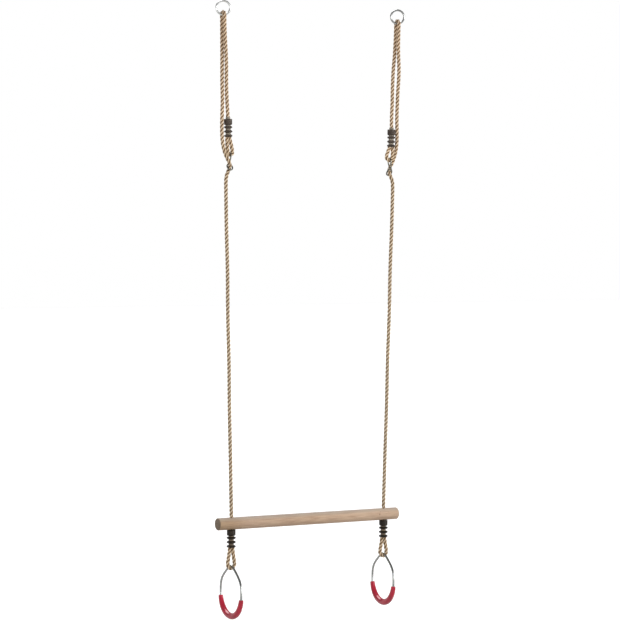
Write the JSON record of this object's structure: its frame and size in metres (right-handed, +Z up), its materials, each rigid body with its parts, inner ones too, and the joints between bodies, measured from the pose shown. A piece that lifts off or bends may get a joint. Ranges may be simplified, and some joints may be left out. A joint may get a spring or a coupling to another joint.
{
  "type": "trapeze bar",
  "caption": "Wooden trapeze bar hung on laid ropes from steel top rings, with length adjusters above and gripped gym rings below the bar.",
  "frame": {"origin": "midway between the two points where the top rings rest on their hooks, which are the inner tops of the rings", "axes": "+Z up, +X along the bar to the right as seen from the front, -Y towards the front"},
  "size_m": [0.6222, 0.1326, 1.7707],
  "materials": {
    "ring_steel": "bright zinc plate on bent round wire",
    "adjuster_zinc": "dull zinc plate on bent round wire",
    "laid_rope": "three-strand laid synthetic rope, light tan",
    "sleeve_plastic": "moulded dark brown plastic, satin",
    "beech": "turned beech, thin satin lacquer",
    "grip_red": "moulded red vinyl, glossy"
  },
  "bodies": {
    "hangers": {"top_ring_left": "ring_steel", "top_ring_right": "ring_steel"},
    "bights": {"rope_bight_left": "laid_rope", "rope_bight_right": "laid_rope"},
    "rope_left": {"rope_main_left": "laid_rope", "rope_tail_left": "laid_rope", "upper_sleeve_left": "sleeve_plastic", "adjuster_left": "adjuster_zinc"},
    "rope_right": {"rope_main_right": "laid_rope", "rope_tail_right": "laid_rope", "upper_sleeve_right": "sleeve_plastic", "adjuster_right": "adjuster_zinc"},
    "bar": {"bar": "beech", "rope_lower_left": "laid_rope", "rope_lower_right": "laid_rope", "lower_sleeve_left": "sleeve_plastic", "lower_sleeve_right": "sleeve_plastic"},
    "eye_left": {"rope_eye_left": "laid_rope"},
    "eye_right": {"rope_eye_right": "laid_rope"},
    "ring_left": {"gym_ring_left": "ring_steel", "grip_left": "grip_red"},
    "ring_right": {"gym_ring_right": "ring_steel", "grip_right": "grip_red"}
  },
  "joints": [
    {"name": "swing", "type": "hinge", "parent": "hangers", "child": "bights", "pos_m": [0, 0, -0.03675], "axis": [1, 0, 0], "range_deg": [-60, 60]},
    {"name": "sway", "type": "hinge", "parent": "bights", "child": "rope_left", "pos_m": [-0.28963, 0, -0.05175], "axis": [0, 1, 0], "range_deg": [-8, 8]},
    {"name": "sway_right", "type": "hinge", "parent": "bights", "child": "rope_right", "pos_m": [0.28963, 0, -0.05175], "axis": [0, 1, 0], "range_deg": [-8, 8]},
    {"name": "bar_level", "type": "hinge", "parent": "rope_left", "child": "bar", "pos_m": [-0.255, 0, -1.4663], "axis": [0, 1, 0], "range_deg": [-9.2, 9.2]},
    {"name": "eye_flex_left", "type": "hinge", "parent": "bar", "child": "eye_left", "pos_m": [-0.255, 0, -1.5615], "axis": [1, 0, 0], "range_deg": [-45, 45]},
    {"name": "eye_flex_right", "type": "hinge", "parent": "bar", "child": "eye_right", "pos_m": [0.255, 0, -1.5615], "axis": [1, 0, 0], "range_deg": [-45, 45]},
    {"name": "ring_tilt_left", "type": "hinge", "parent": "eye_left", "child": "ring_left", "pos_m": [-0.255, 0, -1.61], "axis": [-0.0279, 0.9996, 0], "range_deg": [-120, 120]},
    {"name": "ring_tilt_right", "type": "hinge", "parent": "eye_right", "child": "ring_right", "pos_m": [0.255, 0, -1.6055], "axis": [0, 1, 0], "range_deg": [-120, 120]}
  ],
  "couplings": [
    {"joint": "sway_right", "follows": "sway", "ratio": 1},
    {"joint": "bar_level", "follows": "sway", "ratio": -1.1358}
  ]
}
